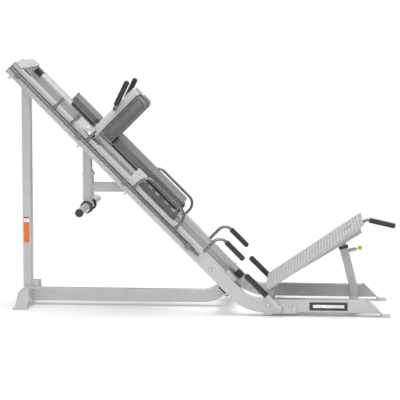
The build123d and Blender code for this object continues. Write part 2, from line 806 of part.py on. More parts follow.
def inner_post():
    """The sliding inner tube of the support post, with its upper pin."""
    tube = rounded((-20, -20, 36), (20, 20, POST_L), Axis.Z, 2.5)
    tube -= block((-17, -17, 35), (17, 17, POST_L - 24))
    head = rod((0, -20, POST_L), (0, 20, POST_L), 20)
    pin = rod((0, -36, POST_L), (0, 36, POST_L), 6)
    return POST * (tube + head + pin)


def pull_pin():
    """The sprung locking pin of the support post."""
    z = POST_TOP - 22
    return POST * rod((21.5, 0, z), (84, 0, z), 5)


def pull_knob():
    """The knob of the locking pin."""
    z = POST_TOP - 22
    knob = rod((84, 0, z), (106, 0, z), 13)
    return POST * fillet(knob.edges().filter_by(GeomType.CIRCLE), 4)


# ---- write every sub-part -----------------------------------------------------------------
def write_frame():
    """Write the fixed frame."""
    for name, side in SIDES:
        save(f"{name}_rail", rail(side))
        save(f"{name}_rail_bend", rail_bend(side))
        save(f"{name}_base_tube", base_tube(side))
        save(f"{name}_guide_rod", guide_rod(side))
    save("splice_plates", *[splice_plate(side) for _, side in SIDES])
    save("floor_feet", *[make(side) for _, side in SIDES for make in (front_foot, rear_foot)])
    save("rear_crossbeam", rear_crossbeam())
    save("rear_column", rear_column())
    save("rear_beam", rear_beam())
    save("top_cross_plate", top_cross_plate())
    save("lower_crossmember", lower_crossmember())
    save("front_crossmember", front_crossmember())
    save("hinge_brackets", *hinge_brackets())
    save("rod_mounts", *rod_mounts())
    save("rod_bumpers", *rod_bumpers())
    save("safety_bearings", *safety_bearings())
    save("rail_end_caps", *rail_end_caps())
    save("rail_end_plates", *rail_end_plates())
    save("upper_handles", *[upper_handle(side) for _, side in SIDES])
    save("lower_handles", *[lower_handle(side) for _, side in SIDES])
    save("frame_grips", *[make(side) for _, side in SIDES for make in (upper_grip, lower_grip)])
    save("frame_bolts", *frame_bolts())


def write_safety():
    """Write the two safety stops."""
    for name, side in SIDES:
        save(f"{name}_safety_rod", safety_shaft(side))
        save(f"{name}_safety_pegs", *safety_pegs(side))
        save(f"{name}_safety_loop", safety_loop(side))


def write_carriage():
    """Write the sliding carriage."""
    save("carriage_cross_tubes", *carriage_cross_tubes())
    save("carriage_long_tubes", *carriage_long_tubes())
    save("bearing_blocks", *bearing_blocks())
    save("catch_plates", *catch_plates())
    save("catch_rollers", *catch_rollers())
    save("shoulder_arms", *shoulder_arms())
    save("shoulder_handles", *[shoulder_handle(side) for _, side in SIDES])
    save("shoulder_grips", *[shoulder_grip(side) for _, side in SIDES])
    save("back_pad", flat_pad(BACK_PAD, 16))
    save("head_pad", flat_pad(HEAD_PAD, 16))
    for name, side in SIDES:
        save(f"{name}_shoulder_pad", shoulder_pad(side))
    save("pad_boards", *pad_boards())
    save("weight_post", weight_post())
    save("weight_beam", weight_beam())
    save("weight_horns", weight_horns())
    save("horn_flanges", *horn_flanges())
    save("horn_caps", *horn_caps())
    save("carriage_bolts", *carriage_bolts())


def write_foot_plate():
    """Write the foot plate and its support post."""
    save("foot_plate", foot_plate())
    knuckles = [plate_knuckle(side) for _, side in SIDES]
    save("plate_frame", *plate_ribs(), *knuckles, post_bracket())
    save("top_handle", top_handle())
    save("top_grip", top_grip())
    save("outer_post", outer_post())
    save("post_collar", post_collar())
    save("inner_post", inner_post())
    save("pull_pin", pull_pin())
    save("pull_knob", pull_knob())


os.makedirs("parts", exist_ok=True)
write_frame()
write_safety()
write_carriage()
write_foot_plate()
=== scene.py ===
"""Looks of the hack squat machine: coated tube, chrome, upholstery, grips, tread and labels.

Everything is in metres, in the CAD frame: +X from the column to the foot plate, +Y left, +Z up.
Places come from the CAD nodes' own boxes, taken along the axes that each piece is built on.
"""
import json
import math

import bmesh
import bpy
from mathutils import Matrix, Vector
from mathutils.bvhtree import BVHTree


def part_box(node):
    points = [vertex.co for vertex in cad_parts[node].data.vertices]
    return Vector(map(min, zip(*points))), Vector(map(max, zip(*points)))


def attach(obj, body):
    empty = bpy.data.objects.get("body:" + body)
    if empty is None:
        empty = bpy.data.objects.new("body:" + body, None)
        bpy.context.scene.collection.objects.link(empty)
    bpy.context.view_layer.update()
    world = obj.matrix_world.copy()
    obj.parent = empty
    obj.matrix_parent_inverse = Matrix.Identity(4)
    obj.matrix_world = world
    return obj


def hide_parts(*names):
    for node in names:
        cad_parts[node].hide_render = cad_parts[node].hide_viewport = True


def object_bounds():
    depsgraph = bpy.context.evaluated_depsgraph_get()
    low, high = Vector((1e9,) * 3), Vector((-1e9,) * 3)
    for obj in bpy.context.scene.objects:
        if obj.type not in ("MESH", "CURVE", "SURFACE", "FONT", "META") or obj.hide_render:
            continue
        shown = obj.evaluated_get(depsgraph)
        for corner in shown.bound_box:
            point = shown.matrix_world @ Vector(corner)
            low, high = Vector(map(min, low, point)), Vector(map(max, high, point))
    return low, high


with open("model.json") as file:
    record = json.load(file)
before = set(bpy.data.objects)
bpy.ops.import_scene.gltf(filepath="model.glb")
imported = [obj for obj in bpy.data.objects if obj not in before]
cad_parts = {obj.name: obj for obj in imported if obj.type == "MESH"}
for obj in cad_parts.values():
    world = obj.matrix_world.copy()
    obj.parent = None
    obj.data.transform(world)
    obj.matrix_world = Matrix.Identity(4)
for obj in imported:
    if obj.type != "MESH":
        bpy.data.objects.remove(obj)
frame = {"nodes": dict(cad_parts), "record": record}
cad_box = [list(corner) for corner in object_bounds()]
NODES = frame["nodes"]

# ---- camera and light -----------------------------------------------------------------------
CAMERA_PLACE = (0.640, -9.892, 1.7045)
CAMERA_PAN = 3.873          # degrees to the left of straight across
CAMERA_TILT = 6.16          # degrees down
CAMERA_ROLL = 0.08
CAMERA_LENS = 151.0         # mm, on a 36 mm sensor
SKY_STRENGTH = 1.0
FLOOR_R = 3.6
FLOOR_GAP = 0.0005          # from the feet down to the floor
SKY_LEVELS = ((0.0, 0.20), (0.2, 0.32), (0.6, 0.75), (1.0, 1.0))   # sine of elevation, brightness
LIT_POINT = (0, 0, 0.6)     # where the softboxes face
SOFTBOXES = (               # name, place, side, watts
    ("overhead", (0.3, 0.3, 5.5), 4.0, 190),
    ("front", (-0.8, -7.0, 2.4), 3.0, 150),
    ("far", (3.5, 5.0, 4.5), 2.5, 30),
)

# ---- upholstery -----------------------------------------------------------------------------
PAD_BODY = "carriage"
VOXEL = 0.005
SWELL_FRAMES = 20
SWELL_PRESSURE = 4.0
SEAM_REACH = 0.6            # voxels either side of a seam that the simulation holds
WALL_REACH = 0.004          # how near the outline a point counts as on the side wall
RELAX_ROUNDS = 4
WALL_CAP = 0.003            # how far a side wall may bulge
PIPING_R = 0.0024
PIPING_OUT = 0.0022         # how far the piping's middle stands out from the cover's wall

# ---- axes of the pieces ---------------------------------------------------------------------
ACROSS = Vector((0, 1, 0))
DOWN_RAIL = Vector((1, 0, -1)).normalized()
OFF_RAIL = Vector((1, 0, 1)).normalized()
SIDES = ("right", "left")


def axes(u, v, w):
    """A rotation whose columns are three directions."""
    return Matrix((u, v, w)).transposed()


def local_box(node, turn):
    """Lowest and highest corner of a CAD node along the given axes."""
    points = [turn.transposed() @ v.co for v in NODES[node].data.vertices]
    low = Vector([min(p[i] for p in points) for i in range(3)])
    high = Vector([max(p[i] for p in points) for i in range(3)])
    return low, high


# ---- materials ------------------------------------------------------------------------------
def new_material(name, color, metallic=0.0, roughness=0.5, **sockets):
    """A Principled material with its constant values on the shader's own sockets."""
    material = bpy.data.materials.new(name)
    material.use_nodes = True
    shader = material.node_tree.nodes["Principled BSDF"]
    shader.inputs["Base Color"].default_value = (*color, 1)
    shader.inputs["Metallic"].default_value = metallic
    shader.inputs["Roughness"].default_value = roughness
    for socket, value in sockets.items():
        shader.inputs[socket.replace("_", " ")].default_value = value
    return material


def texture(material, kind, scale, **settings):
    """A texture node on the object's own coordinates."""
    tree = material.node_tree
    place = tree.nodes.new("ShaderNodeTexCoord")
    node = tree.nodes.new(kind)
    tree.links.new(place.outputs["Object"], node.inputs["Vector"])
    node.inputs["Scale"].default_value = scale
    for key, value in settings.items():
        node.inputs[key].default_value = value
    return node


def vary_color(material, source, dark, light):
    """Blend the base colour between two tones by a texture."""
    tree = material.node_tree
    ramp = tree.nodes.new("ShaderNodeValToRGB")
    ramp.color_ramp.elements[0].position = 0.32
    ramp.color_ramp.elements[1].position = 0.68
    ramp.color_ramp.elements[0].color = (*dark, 1)
    ramp.color_ramp.elements[1].color = (*light, 1)
    tree.links.new(source, ramp.inputs["Fac"])
    shader = tree.nodes["Principled BSDF"]
    tree.links.new(ramp.outputs["Color"], shader.inputs["Base Color"])


def vary_roughness(material, source, low, high):
    """Run the roughness between two values by a texture."""
    tree = material.node_tree
    spread = tree.nodes.new("ShaderNodeMapRange")
    spread.inputs["From Min"].default_value = 0.3
    spread.inputs["From Max"].default_value = 0.7
    spread.inputs["To Min"].default_value = low
    spread.inputs["To Max"].default_value = high
    tree.links.new(source, spread.inputs["Value"])
    tree.links.new(spread.outputs["Result"], tree.nodes["Principled BSDF"].inputs["Roughness"])


def add_bump(material, source, height, strength):
    """Raise the surface by a texture; several calls stack."""
    tree = material.node_tree
    bump = tree.nodes.new("ShaderNodeBump")
    bump.inputs["Distance"].default_value = height
    bump.inputs["Strength"].default_value = strength
    tree.links.new(source, bump.inputs["Height"])
    normal = tree.nodes["Principled BSDF"].inputs["Normal"]
    if normal.is_linked:
        tree.links.new(normal.links[0].from_socket, bump.inputs["Normal"])
    tree.links.new(bump.outputs["Normal"], normal)


def powder_coat(name, tone):
    """Silver-grey powder coat: fine orange peel, faint mottling, uneven gloss."""
    color = (tone, tone * 1.005, tone * 1.01)
    material = new_material(name, color, roughness=0.42, Specular_IOR_Level=0.5)
    cloud = texture(material, "ShaderNodeTexNoise", 7.0, Detail=4.0)
    flake = texture(material, "ShaderNodeTexNoise", 900.0, Detail=2.0)
    peel = texture(material, "ShaderNodeTexVoronoi", 420.0)
    shade = [c * 0.955 for c in color]
    lift = [c * 1.03 for c in color]
    vary_color(material, cloud.outputs["Fac"], shade, lift)
    vary_roughness(material, cloud.outputs["Fac"], 0.36, 0.48)
    add_bump(material, peel.outputs["Distance"], 0.00018, 0.35)
    add_bump(material, flake.outputs["Fac"], 0.00006, 0.5)
    return material


def chrome(name, tone, dull):
    """Hard chrome with faint wipe marks."""
    material = new_material(name, (tone, tone, tone * 1.01), 1.0, dull)
    marks = texture(material, "ShaderNodeTexNoise", 30.0, Detail=6.0, Distortion=0.6)
    vary_roughness(material, marks.outputs["Fac"], dull * 0.75, dull * 1.3)
    return material


def plated_steel(name, tone):
    """Zinc-plated steel with a slight grain."""
    material = new_material(name, (tone, tone, tone * 1.02), 0.9, 0.3)
    cloud = texture(material, "ShaderNodeTexNoise", 60.0, Detail=5.0)
    vary_color(material, cloud.outputs["Fac"], [tone * 0.9] * 3, [tone * 1.06] * 3)
    vary_roughness(material, cloud.outputs["Fac"], 0.22, 0.4)
    add_bump(material, cloud.outputs["Fac"], 0.0001, 0.3)
    return material


def vinyl(name, tone):
    """Dark grey upholstery vinyl: pebbled leather grain with a soft sheen."""
    color = (tone, tone * 1.02, tone * 1.04)
    material = new_material(name, color, roughness=0.4, Specular_IOR_Level=0.62, Sheen_Weight=0.25)
    material.node_tree.nodes["Principled BSDF"].inputs["Sheen Roughness"].default_value = 0.4
    pebble = texture(material, "ShaderNodeTexVoronoi", 520.0)
    crease = texture(material, "ShaderNodeTexNoise", 160.0, Detail=6.0, Roughness=0.65)
    cloud = texture(material, "ShaderNodeTexNoise", 9.0, Detail=3.0)
    vary_color(material, cloud.outputs["Fac"], [c * 0.9 for c in color], [c * 1.1 for c in color])
    vary_roughness(material, crease.outputs["Fac"], 0.34, 0.5)
    add_bump(material, pebble.outputs["Distance"], 0.0004, 0.5)
    add_bump(material, crease.outputs["Fac"], 0.0006, 0.35)
    return material


def grip_rubber():
    """Black hand-grip rubber with a moulded pebble texture."""
    material = new_material("grip_rubber", (0.022, 0.022, 0.024), roughness=0.55)
    pebble = texture(material, "ShaderNodeTexVoronoi", 260.0)
    cloud = texture(material, "ShaderNodeTexNoise", 45.0, Detail=3.0)
    vary_color(material, cloud.outputs["Fac"], (0.016, 0.016, 0.018), (0.034, 0.034, 0.036))
    vary_roughness(material, cloud.outputs["Fac"], 0.45, 0.65)
    add_bump(material, pebble.outputs["Distance"], 0.0012, 0.8)
    return material


def moulded(name, color, roughness):
    """Moulded plastic or rubber: fine spark texture and a little unevenness."""
    material = new_material(name, color, roughness=roughness)
    fine = texture(material, "ShaderNodeTexNoise", 700.0, Detail=2.0)
    cloud = texture(material, "ShaderNodeTexNoise", 25.0, Detail=3.0)
    vary_color(material, cloud.outputs["Fac"], [c * 0.85 for c in color], [c * 1.12 for c in color])
    vary_roughness(material, cloud.outputs["Fac"], roughness * 0.85, roughness * 1.15)
    add_bump(material, fine.outputs["Fac"], 0.00012, 0.5)
    return material


MATERIALS = {
    "powder_coat": powder_coat("powder_coat", 0.50),
    "tread": powder_coat("tread", 0.43),
    "chrome": chrome("chrome", 0.52, 0.36),
    "plated_steel": plated_steel("plated_steel", 0.62),
    # A dark copy of the plated steel: partly a darker plating, partly painted shade for the rods in
    # the rails' slots.
    "dark_steel": plated_steel("dark_steel", 0.20),
    "grip_rubber": grip_rubber(),
    "rubber": moulded("rubber", (0.02, 0.02, 0.021), 0.5),
    "black_plastic": moulded("black_plastic", (0.024, 0.024, 0.026), 0.42),
    "housing": powder_coat("housing", 0.10),
    "vinyl": vinyl("vinyl", 0.115),
    "board": moulded("board", (0.035, 0.035, 0.037), 0.6),
    "knob": moulded("knob", (0.80, 0.55, 0.03), 0.35),
}
# A lighter copy of the cover's vinyl for the piping: its lighter tone is a painted highlight along
# the seams.
PIPING = vinyl("piping_vinyl_painted_highlight", 0.26)
# A lighter copy of the powder coat: painted light, for the extra light that the shoulder arms and
# catch plates catch.
PAINTED_LIGHT_COAT = powder_coat("coat_with_painted_light", 0.66)
NODE_MATERIALS = {          # nodes that differ a little from the rest of their slot: the lighter coat on the arms and catch plates is painted light, the dark bearing coat painted shade
    "shoulder_arms": PAINTED_LIGHT_COAT,
    "catch_plates": PAINTED_LIGHT_COAT,
    # A dark copy of the powder coat on the safety bearings: painted shade, for the shade under the
    # back pad.
    "safety_bearings": powder_coat("bearing_coat_painted_shade", 0.17),
    "weight_horns": chrome("horn_chrome", 0.92, 0.42),
    "inner_post": plated_steel("post_steel", 0.28),
}


def paint(piece, material):
    """Give a piece one material all over."""
    piece.data.materials.clear()
    piece.data.materials.append(material)


def paint_cad_nodes():
    """Give each carried-over CAD node its own material, or that of its record slot."""
    for part in frame["record"]["subparts"]:
        node = part["node"]
        paint(NODES[node], NODE_MATERIALS.get(node, MATERIALS[part["material_slot"]]))


# ---- mesh helpers ---------------------------------------------------------------------------
def piece_from(name, mesh_data, body, slot_name, material=None):
    """A new object from a bmesh, riding on a body, painted with its record slot's material or a
    given one.
    """
    mesh = bpy.data.meshes.new(name)
    mesh_data.to_mesh(mesh)
    mesh_data.free()
    piece = bpy.data.objects.new(name, mesh)
    bpy.context.scene.collection.objects.link(piece)
    paint(piece, material or MATERIALS[slot_name])
    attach(piece, body)
    return piece


def shade_smooth(piece, angle=40.0):
    """Smooth shading, with edges sharper than an angle kept."""
    mesh = piece.data
    mesh.polygons.foreach_set("use_smooth", [True] * len(mesh.polygons))
    mesh.set_sharp_from_angle(angle=math.radians(angle))


def rounded_outline(low, high, radii, arc_steps=8):
    """Points round a rectangle whose corners have their own radii, anticlockwise from low."""
    corners = (
        (low[0], low[1], 180), (high[0], low[1], 270), (high[0], high[1], 0), (low[0], high[1], 90),
    )
    points = []
    for (x, y, start), radius in zip(corners, radii):
        centre_x = x + radius if x == low[0] else x - radius
        centre_y = y + radius if y == low[1] else y - radius
        for step in range(arc_steps + 1):
            angle = math.radians(start + 90 * step / arc_steps)
            points.append((centre_x + radius * math.cos(angle), centre_y + radius * math.sin(angle)))
    return points


def prism(outline, low, high):
    """A closed bmesh prism of an outline between two heights."""
    shape = bmesh.new()
    bottom = [shape.verts.new((x, y, low)) for x, y in outline]
    top = [shape.verts.new((x, y, high)) for x, y in outline]
    shape.faces.new(list(reversed(bottom)))
    shape.faces.new(top)
    count = len(outline)
    for i in range(count):
        j = (i + 1) % count
        shape.faces.new((bottom[i], bottom[j], top[j], top[i]))
    return shape


def ring_tube(points, radius, sides=10):
    """A closed bmesh tube along a closed line of points."""
    shape = bmesh.new()
    rings = []
    count = len(points)
    for i, point in enumerate(points):
        ahead = (points[(i + 1) % count] - points[i - 1]).normalized()
        first = Vector((0, 0, 1)).cross(ahead).normalized()
        second = ahead.cross(first)
        ring = []
        for k in range(sides):
            turn = 2 * math.pi * k / sides
            offset = math.cos(turn) * first + math.sin(turn) * second
            ring.append(shape.verts.new(point + radius * offset))
        rings.append(ring)
    for i in range(count):
        a, b = rings[i], rings[(i + 1) % count]
        for k in range(sides):
            m = (k + 1) % sides
            shape.faces.new((a[k], a[m], b[m], b[k]))
    return shape


def turn_mesh(shape, turn):
    """Take a bmesh from its own axes to the CAD frame, with its normals outwards."""
    bmesh.ops.transform(shape, matrix=turn.to_4x4(), verts=shape.verts)
    bmesh.ops.recalc_face_normals(shape, faces=shape.faces)
    return shape


# ---- upholstery -----------------------------------------------------------------------------
def remesh(piece):
    """Turn a closed form into an even grid of small faces."""
    modifier = piece.modifiers.new("grid", "REMESH")
    modifier.mode = "VOXEL"
    modifier.voxel_size = VOXEL
    graph = bpy.context.evaluated_depsgraph_get()
    fine = bpy.data.meshes.new_from_object(piece.evaluated_get(graph))
    piece.modifiers.remove(modifier)
    piece.data = fine


def swell(piece, turn, held, cap):
    """Blow a closed form up by cloth pressure, with its seams and its back held.

    cap is how far a panel may rise; the side walls have their own.
    """
    local = turn.transposed()
    rest = [v.co.copy() for v in piece.data.vertices]
    seams = piece.vertex_groups.new(name="seams")
    seams.add([i for i, co in enumerate(rest) if held(local @ co)], 1.0, "REPLACE")
    cloth = piece.modifiers.new("swell", "CLOTH")
    cloth.settings.vertex_group_mass = "seams"
    cloth.settings.use_pressure = True
    cloth.settings.uniform_pressure_force = SWELL_PRESSURE
    cloth.settings.effector_weights.gravity = 0
    cloth.point_cache.frame_start = 1
    cloth.point_cache.frame_end = SWELL_FRAMES
    for number in range(1, SWELL_FRAMES + 1):
        bpy.context.scene.frame_set(number)
    graph = bpy.context.evaluated_depsgraph_get()
    blown = [v.co.copy() for v in piece.evaluated_get(graph).data.vertices]
    piece.modifiers.remove(cloth)
    bpy.context.scene.frame_set(1)
    for vertex, start, end in zip(piece.data.vertices, rest, blown):
        move = local @ (end - start)
        wall = Vector((move.x, move.y, 0.0))
        wall *= min(1.0, WALL_CAP / max(wall.length, 1e-9))
        crown = Vector((0.0, 0.0, max(-cap, min(cap, move.z))))
        vertex.co = start + turn @ (wall + crown)
    relax(piece, held, local)


def relax(piece, held, local, rounds=RELAX_ROUNDS):
    """Even out the grid's steps, away from the seams."""
    shape = bmesh.new()
    shape.from_mesh(piece.data)
    free = [v for v in shape.verts if not held(local @ v.co)]
    for _ in range(rounds):
        bmesh.ops.smooth_vert(
            shape, verts=free, factor=0.5, use_axis_x=True, use_axis_y=True, use_axis_z=True,
        )
    shape.to_mesh(piece.data)
    shape.free()


def cushion(node, turn, radii, inset, seams, back, cap=0.009):
    """A foam pad under vinyl in place of a CAD pad: swollen cover, held seams and piping.

    turn's third axis is square to the panels. inset is how far the cover starts inside the CAD
    box, at low x, low y, high x, high y, low z and high z. seams are the two heights of the
    piping lines, as distances in from the panels' faces. back says which points lie against
    the board.
    """
    low, high = local_box(node, turn)
    outline = rounded_outline(
        (low.x + inset[0], low.y + inset[1]), (high.x - inset[2], high.y - inset[3]), radii,
    )
    bottom = low.z + inset[4]
    top = high.z - inset[5]
    shape = turn_mesh(prism(outline, bottom, top), turn)
    pad = piece_from(node + "_cover", shape, PAD_BODY, "vinyl")
    remesh(pad)
    paint(pad, MATERIALS["vinyl"])
    heights = (bottom + seams[0], top - seams[1])

    def held(point):
        near_seam = min(abs(point.z - height) for height in heights) < VOXEL * SEAM_REACH
        return back(point, low, high) or (near_seam and on_side(point, outline))

    swell(pad, turn, held, cap)
    smooth = pad.modifiers.new("fine", "SUBSURF")
    smooth.levels = 1
    smooth.render_levels = 1
    shade_smooth(pad, 80)
    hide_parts(node)
    welt = rounded_outline(
        (low.x + inset[0] - PIPING_OUT, low.y + inset[1] - PIPING_OUT),
        (high.x - inset[2] + PIPING_OUT, high.y - inset[3] + PIPING_OUT),
        [radius + PIPING_OUT for radius in radii],
    )
    for number, height in enumerate(heights):
        line = [Vector((x, y, height)) for x, y in welt]
        tube = turn_mesh(ring_tube(line, PIPING_R), turn)
        shade_smooth(piece_from(f"{node}_piping_{number + 1}", tube, PAD_BODY, "vinyl", PIPING))


def on_side(point, outline):
    """Whether a point lies on the side wall of a prism of this outline."""
    for (x0, y0), (x1, y1) in zip(outline, outline[1:] + outline[:1]):
        along = Vector((x1 - x0, y1 - y0))
        offset = Vector((point.x - x0, point.y - y0))
        share = max(0.0, min(1.0, offset.dot(along) / max(along.length_squared, 1e-12)))
        if (offset - along * share).length < WALL_REACH:
            return True
    return False


def upholstery():
    """All four pads."""
    flat = axes(DOWN_RAIL, ACROSS, OFF_RAIL)
    flat_inset = (0.002, 0.005, 0.005, 0.005, 0.0, 0.009)
    for node in ("back_pad", "head_pad"):
        cushion(
            node, flat, (0.024,) * 4, flat_inset, (0.004, 0.003),
            lambda point, low, high: point.z < low.z + 0.005,
        )
    upright = axes(DOWN_RAIL, -OFF_RAIL, ACROSS)
    for side in SIDES:
        cushion(
            f"{side}_shoulder_pad", upright, (0.006, 0.024, 0.008, 0.006),
            (0.002, 0.005, 0.004, 0.005, 0.005, 0.005), (0.004, 0.004),
            lambda point, low, high: point.x < low.x + 0.006, cap=0.006,
        )


# ---- dark angle in the pad gap, painted shade -----------------------------------------------
GAP_SHADE_PROFILE = (            # along the rail from the back pad's top end, off its back face
    (-0.014, -0.012), (0.0115, -0.012), (0.0115, -0.001),
    (-0.0005, -0.001), (-0.0005, 0.042), (-0.014, 0.042),
)
GAP_SHADE_HALF_WIDTH = 0.044
GAP_SHADE_BEVEL = 0.0008


def gap_shade_angle():
    """A dark angle between the shoulder pads, at the back pad's top end: painted shade, a black
    piece filling the shaded gap there.
    """
    turn = axes(DOWN_RAIL, -OFF_RAIL, ACROSS)
    low, high = local_box("back_pad", turn)
    outline = [(low.x + along, high.y - off) for along, off in reversed(GAP_SHADE_PROFILE)]
    shape = turn_mesh(prism(outline, -GAP_SHADE_HALF_WIDTH, GAP_SHADE_HALF_WIDTH), turn)
    bmesh.ops.bevel(shape, geom=shape.edges[:], offset=GAP_SHADE_BEVEL, segments=2, affect="EDGES")
    shade_smooth(piece_from("gap_shade_angle", shape, PAD_BODY, "black_plastic"))


# ---- foot plate tread -----------------------------------------------------------------------
TREAD_PITCH = 0.0105        # rows, up the plate
TREAD_STEP = 0.021          # lozenges along a row
LOZENGE = (0.0084, 0.0026, 0.0012)   # half length, half width, height
LOZENGE_SIDES = 12
FIRST_ROW = 0.011           # from the plate's lower edge
ROWS_MARGIN = 0.016         # plate length that the rows leave free
STEPS_MARGIN = 0.03         # plate width that a row leaves free
SIDE_MARGIN = 0.012
CLIPPED_CORNER = 0.036      # tread-free part of the upper corners
SLOT_FROM_TOP = 0.105       # middle of the slot, from the plate's upper edge
SLOT_CLEAR = (0.036, 0.016)          # half length and half width without tread
GUARD_HALF = (0.029, 0.012)
GUARD_RADIUS = 0.008
GUARD_HEIGHTS = (0.0005, 0.0008)     # below and above the plate's face


def main_normal(node):
    """Unit normal of a CAD node's largest flat face, pointing up."""
    areas = {}
    for face in NODES[node].data.polygons:
        key = tuple(round(c, 2) for c in face.normal)
        areas[key] = areas.get(key, 0.0) + face.area
    best = Vector(max(areas, key=areas.get)).normalized()
    exact = [f.normal for f in NODES[node].data.polygons if f.normal.dot(best) > 0.999]
    normal = sum(exact, Vector()).normalized()
    return normal if normal.z > 0 else -normal


def lozenge(shape, centre, heading):
    """One raised bar of the tread, lens-shaped with sloping sides."""
    length, width, height = LOZENGE
    base, crown = [], []
    for k in range(LOZENGE_SIDES):
        turn = 2 * math.pi * k / LOZENGE_SIDES
        x = length * math.cos(turn)
        y = width * math.sin(turn) * abs(math.sin(turn)) ** 0.3
        spun = Matrix.Rotation(heading, 2) @ Vector((x, y))
        base.append(shape.verts.new((centre.x + spun.x, centre.y + spun.y, centre.z)))
        crown.append(shape.verts.new(
            (centre.x + spun.x * 0.8, centre.y + spun.y * 0.5, centre.z + height)
        ))
    for k in range(LOZENGE_SIDES):
        m = (k + 1) % LOZENGE_SIDES
        shape.faces.new((base[k], base[m], crown[m], crown[k]))
    shape.faces.new(crown)


def tread():
    """Rows of raised lozenges over the foot plate, and a dark guard over its slot."""
    up = main_normal("foot_plate")
    turn = axes(ACROSS.cross(up), ACROSS, up)
    low, high = local_box("foot_plate", turn)
    shape = bmesh.new()
    rows = int((high.x - low.x - ROWS_MARGIN) / TREAD_PITCH)
    count = int((high.y - low.y - STEPS_MARGIN) / TREAD_STEP)
    slot_middle = high.x - SLOT_FROM_TOP
    for row in range(rows + 1):
        x = low.x + FIRST_ROW + row * TREAD_PITCH
        shift = (row % 2) * TREAD_STEP / 2
        for column in range(-count // 2, count // 2 + 1):
            y = column * TREAD_STEP + shift
            inside = abs(y) < high.y - SIDE_MARGIN and abs(y) + x < high.y + high.x - CLIPPED_CORNER
            in_slot = abs(x - slot_middle) < SLOT_CLEAR[0] and abs(y) < SLOT_CLEAR[1]
            if inside and not in_slot:
                lozenge(shape, Vector((x, y, high.z)), math.radians(45 if row % 2 else -45))
    shape = turn_mesh(shape, turn)
    shade_smooth(piece_from("tread_lozenges", shape, "foot_plate", "tread"), 25)
    rim = rounded_outline(
        (slot_middle - GUARD_HALF[0], -GUARD_HALF[1]), (slot_middle + GUARD_HALF[0], GUARD_HALF[1]),
        (GUARD_RADIUS,) * 4,
    )
    guard = turn_mesh(prism(rim, high.z - GUARD_HEIGHTS[0], high.z + GUARD_HEIGHTS[1]), turn)
    shade_smooth(piece_from("slot_guard", guard, "foot_plate", "black_plastic"))


# ---- bolts ----------------------------------------------------------------------------------
HEAD_SIDES = 24
HEAD_PROFILE = (            # share of the radius, share of the height
    (1.0, 0.0), (1.0, 0.16), (0.97, 0.3), (0.9, 0.55), (0.76, 0.8), (0.6, 0.95), (0.46, 1.0),
)
SOCKET_PROFILE = ((0.46, 1.0), (0.42, 0.45))
SOCKET_SHARE = 0.98         # keeps the socket's corners inside the dome's last ring


def islands(node):
    """A CAD node's mesh, and its separate lumps as lists of faces."""
    mesh = NODES[node].data
    keys = [tuple(round(c, 5) for c in v.co) for v in mesh.vertices]
    parent = {key: key for key in keys}

    def root(key):
        while parent[key] != key:
            parent[key] = parent[parent[key]]
            key = parent[key]
        return key

    for face in mesh.polygons:
        first = root(keys[face.vertices[0]])
        for index in face.vertices[1:]:
            parent[root(keys[index])] = first
    groups = {}
    for face in mesh.polygons:
        groups.setdefault(root(keys[face.vertices[0]]), []).append(face)
    return mesh, list(groups.values())


def round_head(shape, seat, out, radius, height):
    """A button head with a rim, a dome and a hexagon socket."""
    side = out.orthogonal().normalized()
    up = out.cross(side)
    rings = []
    for share, level in HEAD_PROFILE:
        ring = []
        for k in range(HEAD_SIDES):
            turn = 2 * math.pi * k / HEAD_SIDES
            offset = side * math.cos(turn) + up * math.sin(turn)
            ring.append(shape.verts.new(seat + offset * radius * share + out * height * level))
        rings.append(ring)
    for share, level in SOCKET_PROFILE:
        ring = []
        for k in range(HEAD_SIDES):
            turn = 2 * math.pi * k / HEAD_SIDES
            flat = math.cos(math.pi / 6) / math.cos(turn % (math.pi / 3) - math.pi / 6)
            offset = side * math.cos(turn) + up * math.sin(turn)
            place = seat + offset * radius * share * flat * SOCKET_SHARE + out * height * level
            ring.append(shape.verts.new(place))
        rings.append(ring)
    for a, b in zip(rings, rings[1:]):
        for k in range(HEAD_SIDES):
            m = (k + 1) % HEAD_SIDES
            shape.faces.new((a[k], a[m], b[m], b[k]))
    shape.faces.new(rings[-1])


def others_tree(skip):
    """A search tree over every CAD node but one."""
    points, faces = [], []
    for name, node in NODES.items():
        if name == skip:
            continue
        start = len(points)
        points.extend(v.co.copy() for v in node.data.vertices)
        faces.extend([start + i for i in f.vertices] for f in node.data.polygons)
    return BVHTree.FromPolygons(points, faces)


def detailed_bolts(node, body):
    """Replace plain bolt cylinders by domed socket heads of the same size."""
    tree = others_tree(node)
    mesh, lumps = islands(node)
    shape = bmesh.new()
    for faces in lumps:
        areas = {}
        for face in faces:
            key = tuple(round(c, 2) for c in face.normal)
            areas[key] = areas.get(key, 0.0) + face.area
        axis = Vector(max(areas, key=areas.get)).normalized()
        points = [mesh.vertices[i].co for face in faces for i in face.vertices]
        middle = sum(points, Vector()) / len(points)
        span = [(p - middle).dot(axis) for p in points]
        middle += axis * (max(span) + min(span)) / 2
        height = max(span) - min(span)
        radius = max(((p - middle) - axis * (p - middle).dot(axis)).length for p in points)
        ends = [middle + axis * sign * height / 2 for sign in (-1, 1)]
        gaps = [tree.find_nearest(end)[3] for end in ends]
        seat = ends[0] if gaps[0] < gaps[1] else ends[1]
        out = (middle - seat).normalized()
        round_head(shape, seat, out, radius, height)
    bmesh.ops.recalc_face_normals(shape, faces=shape.faces)
    piece = piece_from(node + "_heads", shape, body, "plated_steel")
    shade_smooth(piece, 35)
    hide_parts(node)


